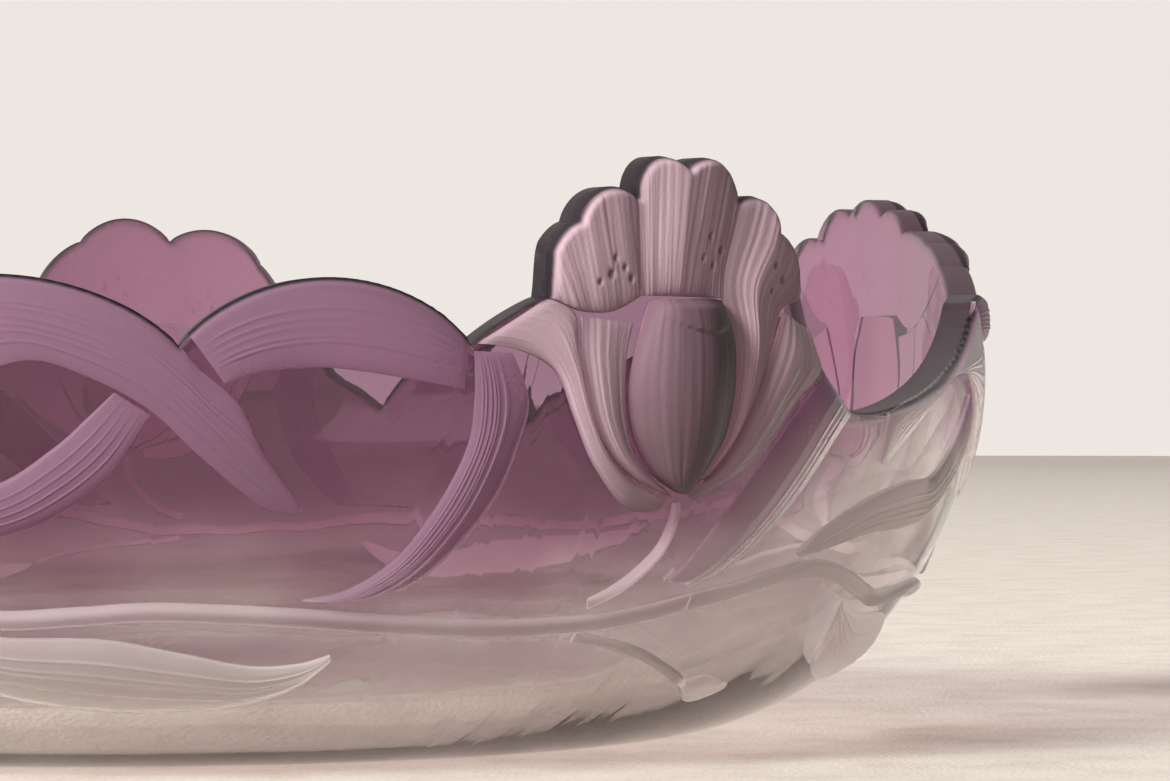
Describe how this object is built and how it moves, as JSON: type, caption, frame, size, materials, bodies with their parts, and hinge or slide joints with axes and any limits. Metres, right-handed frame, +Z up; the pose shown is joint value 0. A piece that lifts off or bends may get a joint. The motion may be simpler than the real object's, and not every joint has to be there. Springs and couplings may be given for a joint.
{
  "type": "carved art glass bowl",
  "caption": "Round footless art-glass bowl with a scalloped rim cut to the tops of relief flowers and arching leaves, amethyst at the rim fading to clear at the foot.",
  "frame": {"origin": "middle of the flat foot, on the surface the bowl stands on", "axes": "+Z up along the bowl's axis; the middle of blossom 1 faces -Y, and the other blossoms follow every 72 degrees, turning from -Y towards +X"},
  "size_m": [0.3018, 0.3073, 0.095],
  "materials": {
    "clear_glass": "polished, nearly clear with a warm tint",
    "amethyst_glass": "polished amethyst",
    "satin_amethyst": "satin, acid-etched amethyst",
    "satin_clear": "satin, acid-etched, nearly clear"
  },
  "bodies": {
    "root": {"base_disc": "clear_glass", "bowl_shoulder": "clear_glass", "bowl_wall": "amethyst_glass", "back_petals_1": "satin_amethyst", "back_petals_2": "satin_amethyst", "back_petals_3": "satin_amethyst", "back_petals_4": "satin_amethyst", "back_petals_5": "satin_amethyst", "side_petals_1": "satin_amethyst", "side_petals_2": "satin_amethyst", "side_petals_3": "satin_amethyst", "side_petals_4": "satin_amethyst", "side_petals_5": "satin_amethyst", "bud_1": "satin_amethyst", "bud_2": "satin_amethyst", "bud_3": "satin_amethyst", "bud_4": "satin_amethyst", "bud_5": "satin_amethyst", "bud_stem_1": "satin_clear", "bud_stem_2": "satin_clear", "bud_stem_3": "satin_clear", "bud_stem_4": "satin_clear", "bud_stem_5": "satin_clear", "short_arch_leaf_1": "satin_amethyst", "short_arch_leaf_2": "satin_amethyst", "short_arch_leaf_3": "satin_amethyst", "short_arch_leaf_4": "satin_amethyst", "short_arch_leaf_5": "satin_amethyst", "long_arch_leaf_1": "satin_amethyst", "long_arch_leaf_2": "satin_amethyst", "long_arch_leaf_3": "satin_amethyst", "long_arch_leaf_4": "satin_amethyst", "long_arch_leaf_5": "satin_amethyst", "sickle_leaf_1": "satin_amethyst", "sickle_leaf_2": "satin_amethyst", "sickle_leaf_3": "satin_amethyst", "sickle_leaf_4": "satin_amethyst", "sickle_leaf_5": "satin_amethyst", "strap_leaf_1": "satin_amethyst", "strap_leaf_2": "satin_amethyst", "strap_leaf_3": "satin_amethyst", "strap_leaf_4": "satin_amethyst", "strap_leaf_5": "satin_amethyst", "broad_leaf_1": "satin_amethyst", "broad_leaf_2": "satin_amethyst", "broad_leaf_3": "satin_amethyst", "broad_leaf_4": "satin_amethyst", "broad_leaf_5": "satin_amethyst", "low_leaf_1": "satin_clear", "low_leaf_2": "satin_clear", "low_leaf_3": "satin_clear", "low_leaf_4": "satin_clear", "low_leaf_5": "satin_clear", "ring_stem_1": "satin_clear", "ring_stem_2": "satin_clear", "ring_stem_3": "satin_clear", "ring_stem_4": "satin_clear", "ring_stem_5": "satin_clear"}
  },
  "joints": []
}
